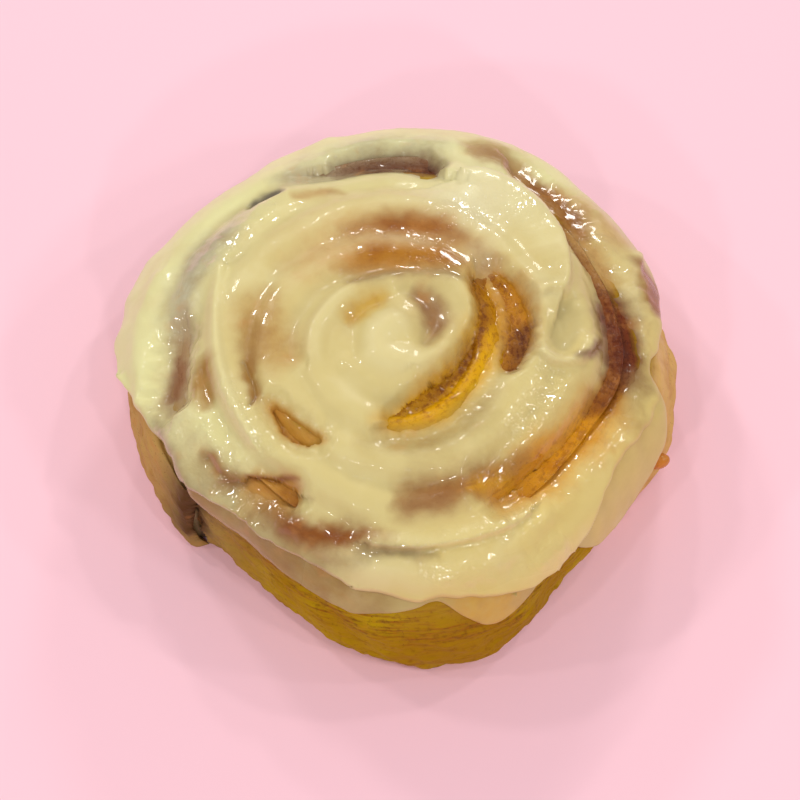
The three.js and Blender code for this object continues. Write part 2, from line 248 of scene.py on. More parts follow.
class Wire:
    """A socket of a material's nodes that takes part in sums."""

    def __init__(self, finish, socket):
        self.finish, self.socket = finish, socket

    def maths(self, operation, *values):
        return self.finish.node("Math", {"operation": operation}, dict(enumerate(values)))

    def __add__(self, other):
        return self.maths("ADD", self, other)

    def __radd__(self, other):
        return self.maths("ADD", other, self)

    def __sub__(self, other):
        return self.maths("SUBTRACT", self, other)

    def __rsub__(self, other):
        return self.maths("SUBTRACT", other, self)

    def __mul__(self, other):
        return self.maths("MULTIPLY", self, other)

    def __rmul__(self, other):
        return self.maths("MULTIPLY", other, self)


class Finish:
    """A material and the nodes that make it."""

    def __init__(self, name):
        self.material = bpy.data.materials.new(name)
        self.material.use_nodes = True
        self.tree = self.material.node_tree
        self.tree.nodes.clear()

    def node(self, kind, settings=None, inputs=None, out=0):
        made = self.tree.nodes.new("ShaderNode" + kind)
        for key, value in (settings or {}).items():
            setattr(made, key, value)
        for key, value in (inputs or {}).items():
            if isinstance(value, Wire):
                self.tree.links.new(value.socket, made.inputs[key])
            else:
                made.inputs[key].default_value = value
        return Wire(self, made.outputs[out] if made.outputs else None)

    def band(self, value, start, end):
        """0 below start and 1 above end, eased."""
        settings = {"interpolation_type": "SMOOTHSTEP"}
        return self.node("MapRange", settings, {"Value": value, "From Min": start, "From Max": end})

    def blend(self, share, first, second, how="MIX"):
        settings = {"data_type": "RGBA", "blend_type": how}
        return self.node("Mix", settings, {0: share, 6: first, 7: second}, out=2)

    def attribute(self, name, out=0):
        return self.node("Attribute", {"attribute_name": name}, out=out)

    def noise(self, vector, scale, detail=2.0, roughness=0.5):
        values = {"Vector": vector, "Scale": scale, "Detail": detail, "Roughness": roughness}
        return self.node("TexNoise", {}, values)

    def surface(self, **inputs):
        named = {key.replace("_", " "): value for key, value in inputs.items()}
        shader = self.node("BsdfPrincipled", {}, named)
        self.node("OutputMaterial", {}, {"Surface": shader})
        return self.material


def shade(red, green, blue):
    """A colour as seen on a screen, 0 to 255, as the linear light that a material takes."""
    seen = np.array([red, green, blue], float) / 255
    return np.where(seen <= 0.04045, seen / 12.92, ((seen + 0.055) / 1.055) ** 2.4)


def tone(red, green, blue):
    return (*shade(red, green, blue), 1.0)


def mix(first, second, share):
    return first * (1 - share) + second * share


def beside(path, x, y, margin=14.0):
    """Distance from a smooth line through the points, the share of the way along it, and the side."""
    path = np.asarray(path, float)
    ends = np.vstack([2 * path[0] - path[1], path, 2 * path[-1] - path[-2]])
    line = []
    for near in zip(ends, ends[1:], ends[2:], ends[3:]):
        line += [between(*near, f) for f in np.arange(6) / 6]
    line = np.array([*line, path[-1]])
    apart, share, side = np.full(x.shape, far_away), np.zeros(x.shape), np.ones(x.shape)
    low, high = line.min(0) - margin, line.max(0) + margin
    close = np.flatnonzero((x > low[0]) & (x < high[0]) & (y > low[1]) & (y < high[1]))
    px, py = x[close], y[close]
    best, where, turned = np.full(px.shape, far_away), np.zeros(px.shape), np.ones(px.shape)
    for i, (start, run) in enumerate(zip(line, np.diff(line, axis=0))):
        t = np.clip(((px - start[0]) * run[0] + (py - start[1]) * run[1]) / (run @ run), 0, 1)
        dx, dy = px - start[0] - t * run[0], py - start[1] - t * run[1]
        distance = np.hypot(dx, dy)
        nearer = distance < best
        best = np.where(nearer, distance, best)
        where = np.where(nearer, (i + t) / (len(line) - 1), where)
        turned = np.where(nearer, np.where(run[0] * dy - run[1] * dx >= 0, 1.0, -1.0), turned)
    apart[close], share[close], side[close] = best, where, turned
    return apart, share, side


dough_sheet, angle, share = round_sheet(dough_steps)
# From the middle outwards the rows lean to 90 degrees at the widest place, then go down to the foot
slide = np.interp(share, [0, 0.5, 0.8, 1], [0, 62, 90, 100])
lean = np.radians(np.minimum(slide, 90))
level, rise = level_and_rise(lean)
below = np.clip((slide - 90) / 10, 0, 1)
z = widest_at + (dough_top - widest_at) * rise
z = np.where(below > 0, widest_at * (1 - below), z)
back = turns_past(angle)
swell = tail_swell(back, level, ease(back, 1 - tail_end, 1))
radius = foot_radius(angle, level, z) * (1 + swell)
# Soft rolls and creases of the proved side, and the crowns' fine skin
girth = angle * usual_radius
side_share = ease(level, 0.9, 0.99)
rolls = 0.7 * mottle(girth + 0.9 * z, z * 0.4, 4.6, 1) + 0.3 * mottle(girth, z * 2.2, 3.0, 2)
rolls += 0.12 * mottle(girth, z * 3, 1.3, 3)
radius = radius + side_share * (rolls - 0.45)
drop = furrow_drop(angle, level)
strands = 0.16 * mottle(girth * level / 2.5, ring(angle, level), 0.9, 4)
strands += 0.1 * mottle(girth * level, ring(angle, level), 1.6, 5)
z = z - np.where(level < 0.97, drop + strands * (1 - side_share), 0)
z = np.where(below > 0, z, np.maximum(z, 0))
spots = place(angle, radius, z)
for corner, spot in zip(dough_sheet.verts, spots):
    corner.co = spot
rim = [edge for edge in dough_sheet.edges if edge.is_boundary]
centre = Vector(place(np.array([0.0]), np.array([0.0]), np.array([0.0]))[0])
for shrink in base_rings:
    grown = bmesh.ops.extrude_edge_only(dough_sheet, edges=rim)["geom"]
    rim = [part for part in grown if isinstance(part, bmesh.types.BMEdge)]
    inner = [part for part in grown if isinstance(part, bmesh.types.BMVert)]
    for corner in inner:
        corner.co = centre + (corner.co - centre) * shrink
bmesh.ops.holes_fill(dough_sheet, edges=rim, sides=0)
bmesh.ops.recalc_face_normals(dough_sheet, faces=dough_sheet.faces[:])
dough_mesh = bpy.data.meshes.new("dough")
dough_sheet.to_mesh(dough_mesh)
dough_sheet.free()


def seam_wall(turns_back, z):
    """Angle, and radius at a height, of the seam between two turns."""
    angle = tail_angle - turns_back * 2 * np.pi
    level = seam_level(turns_back)
    head = dome_height(seam_top(level)) - furrow_depth
    climb = np.clip((z - widest_at) / (head - widest_at), 0, 1)
    return angle, foot_radius(angle, level, z) * (1 - climb) + ring(angle, seam_top(level)) * climb


def seam_grid(turns, across, end):
    """A long grid, with the turns back from the tail and the share of the way across."""
    band = bmesh.new()
    bmesh.ops.create_grid(band, x_segments=turns, y_segments=across, size=1)
    number_corners(band)
    u, v = np.array([corner.co[:2] for corner in band.verts]).T
    return band, roll_turns - core_gap + (0.5 * u + 0.5) * (end - roll_turns + core_gap), v


def close_up(sheet, under, over):
    """Closes a sheet into a piece between two surfaces, and says which vertex came from which."""
    number = sheet.verts.layers.int["number"]
    lower = list(sheet.verts)
    grown = bmesh.ops.extrude_face_region(sheet, geom=sheet.faces[:], use_keep_orig=True)["geom"]
    upper = [part for part in grown if isinstance(part, bmesh.types.BMVert)]
    for corner in lower:
        corner.co = under[corner[number]]
    for corner in upper:
        corner.co = over[corner[number]]
    bmesh.ops.recalc_face_normals(sheet, faces=sheet.faces[:])
    sheet.verts.index_update()
    came_from = np.array([corner[number] for corner in sheet.verts])
    on_top = np.zeros(len(came_from), bool)
    on_top[[corner.index for corner in upper]] = True
    sheet.verts.layers.int.remove(number)
    return came_from, on_top


slot_cut, turns_back, v = seam_grid(slot_steps, slot_rows, 0.997)
z = slot_floor + (0.5 * v + 0.5) * (dome_height(seam_top(seam_level(turns_back))) + slot_headroom)
angle, radius = seam_wall(turns_back, z)
close_up(slot_cut, place(angle, radius - slot_width / 2, z), place(angle, radius + slot_width / 2, z))
slot_mesh = bpy.data.meshes.new("slot")
slot_cut.to_mesh(slot_mesh)
slot_cut.free()
blank = bpy.data.objects.new("blank", dough_mesh)
knife = bpy.data.objects.new("knife", slot_mesh)
for thing in (blank, knife):
    bpy.context.scene.collection.objects.link(thing)
cut = blank.modifiers.new("slot", "BOOLEAN")
cut.operation, cut.solver, cut.object = "DIFFERENCE", "MANIFOLD", knife
dough_mesh = as_modified(blank)
bpy.data.objects.remove(blank)
bpy.data.objects.remove(knife)

# How the wet roll looks where the icing is clear or torn open, and painted shade in hollows, creases
# and under ridges of the icing: a line over the top in millimetres, half its width, its strength, its
# colour and how much ground cinnamon shows
tints = [
    # Thin grey icing with painted shade along the top of the ring round the middle
    ([[-10.6, 5.6], [-6, 7.4], [1.6, 8.8], [8.6, 8.4], [12.4, 5.4]], 1.8, 0.95, shade(148, 128, 84), 0),
    ([[-21, 5], [-15, 12], [-7, 15], [2, 15.4], [9, 14], [16, 9]], 6.6, 0.74, shade(204, 168, 112), 0),
    ([[-12.5, 9.2], [-5, 11.2], [0.5, 11.9], [7, 12], [13.4, 9.6]], 2.7, 0.97, shade(170, 108, 0), 0.2),
    ([[-12, 16.6], [-3.7, 18.6], [0.5, 19], [4.6, 18.5], [8.1, 17.7], [13.4, 13.6]], 2.6, 0.95,
     shade(156, 92, 20), 0.2),
    ([[-7.4, 14.6], [0, 15.4], [7, 15]], 1.6, 0.6, shade(206, 174, 126), 0),
    ([[-23.5, 7], [-24.2, -1.4], [-22.4, -7], [-17, -11.6]], 5.2, 0.84, shade(186, 148, 84), 0),
    ([[-25.8, 1], [-26.2, -6], [-25, -13]], 2.0, 0.55, shade(156, 112, 52), 0),
    ([[1, 4.8], [4.5, 2.5], [6, -1.9], [4.2, -7.4]], 2.7, 0.9, shade(146, 104, 64), 0.1),
    ([[-1.6, 3.8], [-6.3, 1.2], [-9.4, -3.8]], 2.6, 0.8, shade(200, 160, 64), 0),
    # Painted shade in the hollow band below the first window
    ([[-9, -26.4], [0, -26], [7, -24.6], [13, -20.6], [18, -14]], 3.6, 0.6, shade(170, 146, 92), 0),
    ([[-26.6, 27], [-34.3, 15.3], [-37.1, 9.4], [-38.5, 2], [-38.5, -5.3]], 3.6, 0.85,
     shade(174, 164, 136), 0),
    ([[-37.4, 6], [-38, -4], [-38.4, -10], [-37.4, -19]], 2.4, 0.85, shade(176, 150, 112), 0.15),
    ([[-38.6, -5], [-39, -9], [-38.6, -13]], 1.2, 0.75, shade(132, 78, 44), 0.3),
    ([[-34.6, -6.4], [-33.8, -12], [-32.2, -18]], 2.0, 0.9, shade(164, 118, 50), 0),
    ([[-37, -18], [-33, -25], [-28, -31], [-21, -35.4]], 2.8, 0.5, shade(176, 150, 100), 0),
    # Painted shade in the dark crease at the upper left
    ([[-28.4, 26], [-25, 27.8], [-20.6, 29.2]], 1.2, 0.95, shade(100, 92, 80), 0),
    ([[-20, 26.8], [-15, 27.4], [-10, 27.8]], 1.8, 0.75, shade(190, 154, 96), 0),
    ([[-25, 31.6], [-15, 34.6], [-7, 36.2]], 2.8, 0.8, shade(176, 162, 132), 0),
    ([[-14, 35.6], [-4, 37.6], [4, 37], [10, 33.6]], 3.4, 1, shade(100, 50, 24), 0.6),
    ([[-22, 37], [-8, 41], [4, 42], [12, 42]], 3.0, 0.5, shade(196, 190, 152), 0),
    ([[10, 42], [18, 39.4], [26.6, 34]], 3.0, 0.85, shade(180, 146, 92), 0),
    ([[12, 40.4], [18, 37.4], [25, 32.6]], 2.4, 0.9, shade(166, 128, 76), 0),
    ([[20, 37.4], [28.4, 30.4], [31.8, 24.8], [33, 18]], 2.4, 0.96, shade(156, 110, 46), 0.3),
    ([[31.4, 24.8], [33.2, 19], [36.4, 14], [38.4, 8]], 2.2, 0.8, shade(190, 150, 88), 0.2),
    ([[28, 35], [36, 26], [41, 16]], 3.0, 0.65, shade(196, 156, 98), 0),
    ([[23, 35.6], [28.6, 31], [32.6, 25.4], [34.4, 20]], 1.5, 0.85, shade(140, 84, 24), 0.3),
    ([[41.6, 18], [44.6, 11.6], [45.8, 4.6]], 2.6, 1, shade(140, 82, 14), 0),
    ([[37, 11], [38.6, 2], [39.6, -4.9], [37.8, -13]], 3.8, 1, shade(106, 46, 14), 0.7),
    ([[42.2, -5], [41.2, -12.6], [38, -19.6]], 2.2, 0.55, shade(156, 128, 82), 0),
    # Painted shadow under the lower rim of the icing dollop at the right
    ([[28.6, -8.6], [32, -7.4], [34.6, -4.8], [36.4, -0.8]], 0.9, 0.7, shade(126, 90, 68), 0),
    ([[39, -10.4], [35.4, -15.6], [31, -20.8], [25.6, -26.2], [20, -31], [12, -36]], 3.9, 1,
     shade(206, 138, 6), 0.4),
    ([[38.8, -8], [36.4, -13], [32.6, -17.6]], 2.0, 0.85, shade(126, 68, 20), 0.6),
    ([[23, -26.4], [14, -31.6], [6, -34.2], [-2, -35.6]], 3.4, 0.9, shade(148, 96, 40), 0.3),
    ([[20, -29.6], [15, -32.2], [11, -33.6]], 1.7, 0.9, shade(200, 142, 10), 0.3),
    ([[10, -34.4], [4, -36.4], [-3, -37.6]], 2.2, 0.7, shade(152, 106, 64), 0.1),
    # Painted shadow in the groove under the ridge of the front lip
    ([[7, -44], [-2, -43.4], [-8, -42.7]], 1.2, 0.65, shade(130, 104, 64), 0),
    # These two lines paint the soft shade under the brown streak at the front left
    ([[-28, -31], [-20, -38.6], [-11, -42.8]], 2.8, 0.6, shade(176, 150, 94), 0),
    ([[-15, -42.4], [-10, -43.6], [-4, -44.6]], 1.4, 0.6, shade(166, 142, 94), 0),
    ([[-25, -33], [-18.4, -37], [-13.8, -39.2], [-9.2, -40.4], [-0.6, -41]], 2.0, 1,
     shade(134, 70, 0), 0.2),
    ([[-27.4, -29], [-21.8, -31.6], [-16.2, -33.4]], 2.5, 0.95, shade(190, 136, 56), 0.1),
    ([[-26.4, -28.2], [-21.8, -30.2], [-16.8, -31.8]], 0.5, 0.85, shade(130, 72, 20), 0.4),
    ([[-44, -13], [-41.6, -19], [-37.6, -25.6], [-32, -32], [-25, -38.5], [-17, -43.4], [-8, -47.6]],
     2.8, 0.85, shade(168, 154, 114), 0),
    ([[-41, -14], [-38.4, -20], [-34.6, -26.4], [-29, -32]], 1.0, 0.6, shade(158, 140, 104), 0),
    ([[-32.2, -23.6], [-29.3, -27.2], [-25.8, -30]], 1.3, 0.9, shade(140, 96, 44), 0),
    ([[-27, -8], [-25.5, -12.8], [-24.8, -15.8], [-25.6, -18.6]], 1.2, 0.85, shade(160, 116, 54), 0),
    ([[-23.4, -16.2], [-19.4, -21.2], [-16.8, -23.4], [-11.6, -25]], 1.7, 0.95, shade(190, 140, 58), 0.1),
    ([[12.4, 15.4], [15, 12.6], [17, 9]], 2.0, 0.7, shade(188, 160, 118), 0),
    ([[12.4, 10.4], [15.4, 1.7], [14.4, -4.4], [11.6, -10.6], [7.4, -15.8], [2.8, -19.8], [-6, -22.4]],
     3.7, 0.98, shade(214, 158, 0), 0.45),
    ([[13.2, 9], [15.4, 2], [15, -4]], 1.7, 0.8, shade(158, 102, 10), 0.6),
    ([[13.4, 9], [14.6, 1.7], [13.4, -4.6], [10.2, -11], [6, -16], [1, -19.6]], 1.3, 0.85,
     shade(134, 78, 10), 0.8),
    ([[16.6, 12], [19.7, 5.8], [20.9, -0.4], [20.4, -5.2], [18.6, -9.8]], 3.0, 0.97,
     shade(176, 116, 14), 0.5),
    # Painted shade on the lower part of the icing tongue at the right
    ([[25, 14], [27, 8.4], [26.6, 3]], 2.4, 0.5, shade(190, 168, 98), 0),
    ([[21.4, 1], [21.6, -4], [19.6, -9.4]], 1.5, 0.9, shade(110, 60, 20), 1),
]


def painting(x, y):
    """Colour that the lines give a place, the wet roll's and the painted shade's, and how clear the icing
    is there.
    """
    x_off = x + 0.7 * mottle(x, y, 4.5, 31) + 0.3 * mottle(x, y, 1.4, 32)
    y_off = y + 0.7 * mottle(x, y, 4.5, 33) + 0.3 * mottle(x, y, 1.4, 34)
    paint = np.zeros((len(x), 4))
    covering = np.ones(len(x))
    for path, width, strength, colour, ground in tints:
        apart, share, _ = beside(path, x_off, y_off)
        taper = np.clip(5 * share * (1 - share), 0, 1) ** 0.6
        mask = strength * taper * np.exp(-((apart / (width * (0.4 + 0.6 * taper))) ** 1.9))
        paint = paint * (1 - mask[:, None]) + mask[:, None] * np.array([*colour, ground])
        covering *= 1 - mask
    painted = 1 - covering
    return paint / np.maximum(painted, 1e-3)[:, None], painted


x, y, z, angle, radius = corner_places(dough_mesh)
level = np.minimum(level_at(angle, radius), 1.05)
on_side = 1 - ease(z, 12, 20) * (1 - ease(level, 0.9, 0.98))
in_furrow = ease(furrow_drop(angle, np.minimum(level, 1)), 1.0, 2.8)
stain = mix(0.8 * in_furrow, 0.4 * ease(z, 9, 17), on_side)
paint, painted = painting(x, y)
paler_left = ease(-x + 0.3 * y + 18 * ease(y, -25, 0), -2, 44)
paler_side = np.maximum(paler_left, ease(x + 0.2 * y, 22, 40))[:, None]
# Round the loose end's notch the side is painted dark brown as shade
from_tail = np.minimum(turns_past(angle), 1 - turns_past(angle)) * usual_radius
painted_tail_shade = (on_side * np.exp(-from_tail**2) * ease(z, 0, 8))[:, None]
far_out = ease(abs(x), 26, 42)[:, None]
to_right = ease(x, 20, 40)[:, None]
side_paint = mix(shade(190, 152, 86), shade(212, 172, 100), to_right)
side_paint = mix(shade(146, 108, 34), side_paint, far_out)
side_paint = mix(side_paint, shade(96, 66, 36), painted_tail_shade)
# This share lays the side's colour, and the painted shade at the tail, over the top's paint
pale = np.maximum(paler_side * ease(level, 0.84, 0.92)[:, None], painted_tail_shade)
paint[:, :3] = mix(paint[:, :3], side_paint, pale)
paint[:, 3:] *= 1 - pale
wetness = np.maximum(painted * (1 - on_side), 0.85 * pale[:, 0])
set_attribute(dough_mesh, "paint", "FLOAT_COLOR", paint)
set_attribute(dough_mesh, "wet", "FLOAT", wetness)
set_attribute(dough_mesh, "stain", "FLOAT", stain)
set_attribute(dough_mesh, "side", "FLOAT", on_side)
set_attribute(dough_mesh, "strands", "FLOAT_VECTOR", strand_way(radius - z, angle))


def wet_roll(finish, spot, strands):
    """Syrup and grains of cinnamon over golden dough, in the colour painted on the piece, which in some
    places of the icing is painted shade.
    """
    paint, ground = finish.attribute("paint"), finish.attribute("paint", out=3)
    speck = finish.noise(spot, 1150, 4, 0.75)
    pools = finish.noise(spot, 170, 3, 0.6)
    streaks = finish.noise(strands, 1.3, 3, 0.5)
    lit = finish.blend(finish.band(pools, 0.45, 0.7) * 0.5, paint, tone(214, 180, 140), "MULTIPLY")
    lit = finish.blend(finish.band(streaks, 0.5, 0.75) * ground * 0.6, lit, tone(120, 66, 20))
    lit = finish.blend(finish.band(pools, 0.46, 0.3) * 0.3, lit, tone(196, 130, 60))
    grains = finish.band(speck + (streaks - 0.5) * 0.5 + ground * 0.1, 0.54, 0.66)
    return finish.blend(grains * ground * 0.85, lit, tone(172, 124, 76), "MULTIPLY")


crust = Finish("baked_dough")
strands = crust.attribute("strands", out=1)
stained = crust.attribute("stain", out=2)
wet = crust.attribute("wet", out=2)
sides = crust.attribute("side", out=2)
spot = crust.node("TexCoord", {}, out=3)
broad = crust.noise(spot, 55, 3)
streak = crust.noise(strands, 1.1, 4, 0.6)
fine = crust.noise(spot, 900, 3, 0.6)
crumb = crust.noise(spot, 2600, 2, 0.6)
gold = crust.blend(crust.band(broad, 0.35, 0.65), tone(178, 146, 0), tone(160, 118, 0))
gold = crust.blend(crust.band(streak, 0.5, 0.7) * 0.5, gold, tone(140, 92, 0))
gold = crust.blend(crust.band(fine, 0.54, 0.7) * 0.5, gold, tone(126, 76, 4))
brown = crust.blend(crust.band(fine, 0.42, 0.6), tone(150, 78, 14), tone(92, 40, 12))
skin = crust.blend(crust.band(stained + (streak - 0.5) * 0.9, 0.25, 0.75), gold, brown)
skin = crust.blend(crust.band(wet, 0.05, 0.85), skin, wet_roll(crust, spot, strands))
specks = crust.band(crumb, 0.66, 0.72) * crust.band(stained + streak, 0.5, 0.9)
skin = crust.blend(specks * 0.8, skin, tone(80, 38, 14))
relief = streak * 0.5 + fine * 0.3 + crumb * 0.1
bump = crust.node("Bump", {}, {"Strength": 0.5, "Distance": 0.0006, "Height": relief})
dough_finish = crust.surface(
    Base_Color=skin, Roughness=0.25 + sides * 0.4, Normal=bump,
    Subsurface_Weight=0.08, Subsurface_Radius=(1.0, 0.5, 0.1), Subsurface_Scale=0.0015,
    Specular_IOR_Level=0.1, Coat_Weight=0.42 - sides * 0.42, Coat_Roughness=0.06,
)
finished("dough", dough_mesh, "dough", dough_finish)


# The filling: brown sugar, butter and ground cinnamon, spread on the strip before it was rolled.
# In the oven it melts to a dark syrup that stands a little way up each furrow.
syrup_foot = 0.4
syrup_rise = 1.92
syrup_bite = 0.12
flank_reach = 4.1
flank_curve = 0.385
filling_steps, filling_rows = 1150, 34
filling_tube, turns_back, v = seam_grid(filling_steps, filling_rows, 1.003)
head = dome_height(seam_top(seam_level(turns_back))) - furrow_depth
uneven = 1 + 0.08 * mottle(turns_back * 70, 0, 1.5, 7) * ease(abs(v), 0.9, 0.2)
crest = head + syrup_rise * uneven * ease(turns_back, 1.0, 1.03)
# From the band's middle to its edge: over the crest, down to the furrow's bottom and to the foot
stops = [0, 0.4, 0.7, 0.97, 1]
below_rim = np.maximum(furrow_depth + head - crest, 0.3)
flank = flank_reach * (1 - (below_rim / furrow_depth) ** flank_curve)
spread = np.interp(abs(v), stops, [0, 1, 0, 0, 0]) * flank * ease(turns_back, 1.0, 1.1)
half = np.interp(abs(v), stops, [0, 1, 1, 1, 0]) * (slot_width / 2 + syrup_bite) + spread
on_crest = np.interp(abs(v), stops, [1, 1, 0, 0, 0])
on_head = np.interp(abs(v), stops, [0, 0, 1, 0, 0])
z = crest * on_crest + head * on_head + syrup_foot * (1 - on_crest - on_head)
z = z + np.where(abs(v) < 0.4, 0.16 * mottle(turns_back * 200, v * 6, 1.1, 8), 0)
angle, radius = seam_wall(turns_back, z)
spots = place(angle, radius + np.sign(v) * half, z)
for corner, spot in zip(filling_tube.verts, spots):
    corner.co = spot
bmesh.ops.remove_doubles(filling_tube, verts=filling_tube.verts[:], dist=1e-6)
open_ends = [edge for edge in filling_tube.edges if edge.is_boundary]
bmesh.ops.holes_fill(filling_tube, edges=open_ends, sides=0)
bmesh.ops.recalc_face_normals(filling_tube, faces=filling_tube.faces[:])
# A drop of it has boiled out under the hem at the right, and set
drop_spot, drop_size = Vector((46.9, -16.3, 12.6)), Vector((1.9, 1.5, 1.8))
drop = bmesh.ops.create_icosphere(filling_tube, subdivisions=3, radius=1)["verts"]
for corner in drop:
    hook = 0.5 * max(0, corner.co.x) ** 2
    corner.co = (drop_spot + drop_size * corner.co + Vector((hook * 0.6, 0, hook)) + Vector(shift)) / 1000
filling_mesh = bpy.data.meshes.new("cinnamon_filling")
filling_tube.to_mesh(filling_mesh)
filling_tube.free()
x, y, z, angle, radius = corner_places(filling_mesh)
paint, painted = painting(x, y)
painted = painted[:, None]
plain = np.array([*shade(132, 74, 20), 0.6])
on_drop = (ease(z, 18, 16) * ease(x, 42, 44))[:, None]
plain = mix(plain, np.array([*shade(204, 128, 44), 0.1]), on_drop)
set_attribute(filling_mesh, "paint", "FLOAT_COLOR", mix(plain, paint, painted))
set_attribute(filling_mesh, "strands", "FLOAT_VECTOR", strand_way(radius - z, angle))

syrup = Finish("cinnamon_syrup")
spot = syrup.node("TexCoord", {}, out=3)
grain = syrup.noise(spot, 1500, 3, 0.7)
pools = syrup.noise(spot, 220, 2)
dark = wet_roll(syrup, spot, syrup.attribute("strands", out=1))
bump = syrup.node("Bump", {}, {"Strength": 0.6, "Distance": 0.0005, "Height": grain * 0.7 + pools})
filling_finish = syrup.surface(
    Base_Color=dark, Roughness=0.08 + grain * 0.24, Normal=bump, Specular_IOR_Level=0.12,
    Coat_Weight=0.35, Coat_Roughness=0.05,
)
finished("cinnamon_filling", filling_mesh, "cinnamon_filling", filling_finish)


# The icing: soft cream cheese icing, spread on warm with a palette knife in curved strokes. It is
# thick and cream in the ridges, thin and clear over some crowns, torn open between some strokes,
# and hangs over the side in a rounded lip with a thin run sheet below it.
icing_gap = 0.5
icing_coat = 1.9
icing_under = -0.55
thinnest = 0.4
clear_sink = 0.35
valley = 0.75
bridge = 1.0
sheet_out = 0.5
skin_edge = -0.2
lip_round = 0.035
icing_tail_slope = 14 / 360
# Degrees round the bun, from its right side, to the middle of each place where the run sheet shows
left_sheet, front_sheet, caramel_sheet = 212, 262, 293
icing_steps = 286
underside_kept = 0.56
hem_heights = [26, 24, 20.5, 19, 18, 17, 16, 15.3, 15, 15, 15, 15.5, 16, 17, 18, 19,
               22.6, 24.4, 25.2, 22.4, 19.8, 19.6, 19.8, 20.2, 22.4, 24.8, 18.2, 18.4, 20.6, 12.6, 12.5, 16]
lip_heights = [25, 17, 16, 14, 13, 12, 11, 10.5, 10.5, 10.5, 10.5, 11, 11, 12, 13, 13.5,
               14.5, 17, 22, 25, 24.8, 25, 25.8, 26, 26, 25.6, 24.4, 21, 20.2, 23.4, 25, 24.6]

# Ridges and hollows left by the knife: a line over the top in millimetres, half its width on the
# line's left and right, and its height
ridges = [
    ([[-1.2, -3.2], [-3.5, -5.6], [-3.4, -9], [-0.8, -10.6]], 3.2, 3.2, 1.5),
    ([[3.1, -11.3], [7.8, -8.2], [10.9, -4.2], [12, 0.7], [10.4, 5.2], [7, 6.8], [2.5, 7.6], [-3.6, 6.8],
      [-8.5, 4.4], [-12, 1], [-14.6, -3.5], [-15.4, -9]], 2.4, 1.2, 0.8),
    ([[1.2, 4.5], [4.5, 2.1], [5.9, -1.9], [4.6, -6.2]], 2.0, 2.0, -1.3),
    ([[-2.6, 2.6], [-6.3, 0.8], [-8.2, -3.2], [-8.4, -8]], 1.8, 1.8, -0.8),
    ([[8, 30], [15, 31.5], [21.6, 28.4], [26.2, 22.6], [28.6, 16], [29.2, 9.5], [28.4, 5.4]],
     0.7, 6.0, 2.1),
    ([[30, 1.6], [30.4, -1.6], [28.6, -4.2], [26.8, -2.6]], 3.2, 3.2, -1.0),
    ([[23.6, 2.8], [26, 4.6], [28.8, 4.8]], 2.6, 0.4, 0.9),
    ([[22.4, -6.2], [24.6, -9], [27.9, -9.6], [31.3, -8], [34, -4.6]], 2.4, 0.5, 1.6),
    ([[-18.9, 15.5], [-13.5, 21.7], [-7.2, 24.7], [0.5, 25.8], [7.5, 27.3]], 3.4, 3.4, 0.5),
    ([[22.9, -10.8], [23.4, -14.5], [20.6, -19.5], [15.2, -24.4], [9, -27.4], [1.8, -28.8], [-6, -28.4]],
     3.4, 3.4, 0.3),
    ([[-29, -33], [-17, -41], [-5, -46], [8.5, -47], [22, -41], [33, -30], [41, -18]], 4.4, 2.4, 1.3),
    ([[21, -35.3], [16.7, -38.6], [11.5, -41], [6.3, -42.2], [1.1, -42.6], [-4.5, -41.9]], 0.5, 2.4, 1.9),
    ([[-31.2, 10.8], [-31.9, 4.7], [-31.6, -1.1], [-30.9, -7.4], [-29.3, -13.6], [-27.1, -18.8],
      [-24.4, -23.6]], 0.8, 2.0, 1.2),
    ([[-32, -21.1], [-29.6, -25.4], [-27.9, -30], [-24.5, -34], [-18.4, -36.6]], 0.9, 1.6, 0.6),
    ([[-42.1, 12.3], [-44.5, 4.8], [-44.6, -1.1], [-42.6, -9.1], [-39.2, -16.9], [-35.6, -23.2]],
     2.8, 1.6, 0.6),
    ([[15.1, 43.6], [23.7, 39.2], [30.7, 32.4], [37, 25.4], [41.4, 18.4], [43.3, 10], [43.2, 0]],
     1.6, 2.2, 0.6),
    ([[-18.8, -11], [-16.7, -16.3], [-13.9, -22.2]], 1.2, 2.4, 0.4),
    ([[16, 6.4], [17.8, 2.7], [18.2, -2.2], [17, -6.4]], 0.8, 0.8, 0.5),
    ([[42.8, 19.8], [41.7, 10.5], [42.5, 3.9], [43.9, -1.6], [45.2, -5.6]], 0.6, 1.0, 0.7),
    ([[35.5, 16.4], [37.3, 13.8], [39.1, 12]], 0.4, 0.4, -0.6),
    ([[-46.6, -6], [-44, -15], [-39.4, -23], [-33, -30.4], [-26, -36]], 0.6, 1.5, 1.1),
    ([[-42.6, -12], [-40, -20], [-35, -27.4], [-30.4, -31.4]], 0.5, 1.2, 0.9),
    ([[-46, 20], [-48, 17], [-49, 13]], 3.0, 3.0, 1.0),
    ([[-49.5, 3], [-50, -1], [-49.4, -5]], 2.6, 2.6, 0.9),
    ([[-24, 42], [-19, 44.6], [-14, 45]], 3.0, 3.0, 1.0),
    ([[14, 4], [13, -4], [9.4, -11.6], [4, -17.6], [-2, -20.8]], 2.4, 2.4, -0.7),
    ([[-26.8, -9.6], [-25.5, -12.8], [-24.8, -15.8], [-25.4, -17.6]], 0.35, 0.5, -0.8),
    ([[-27.4, 26.2], [-25, 27.6], [-22, 28.8]], 0.4, 0.5, -0.6),
    ([[-31.3, -24.7], [-29.3, -27.2], [-26.9, -29.3]], 0.4, 0.4, -0.5),
]

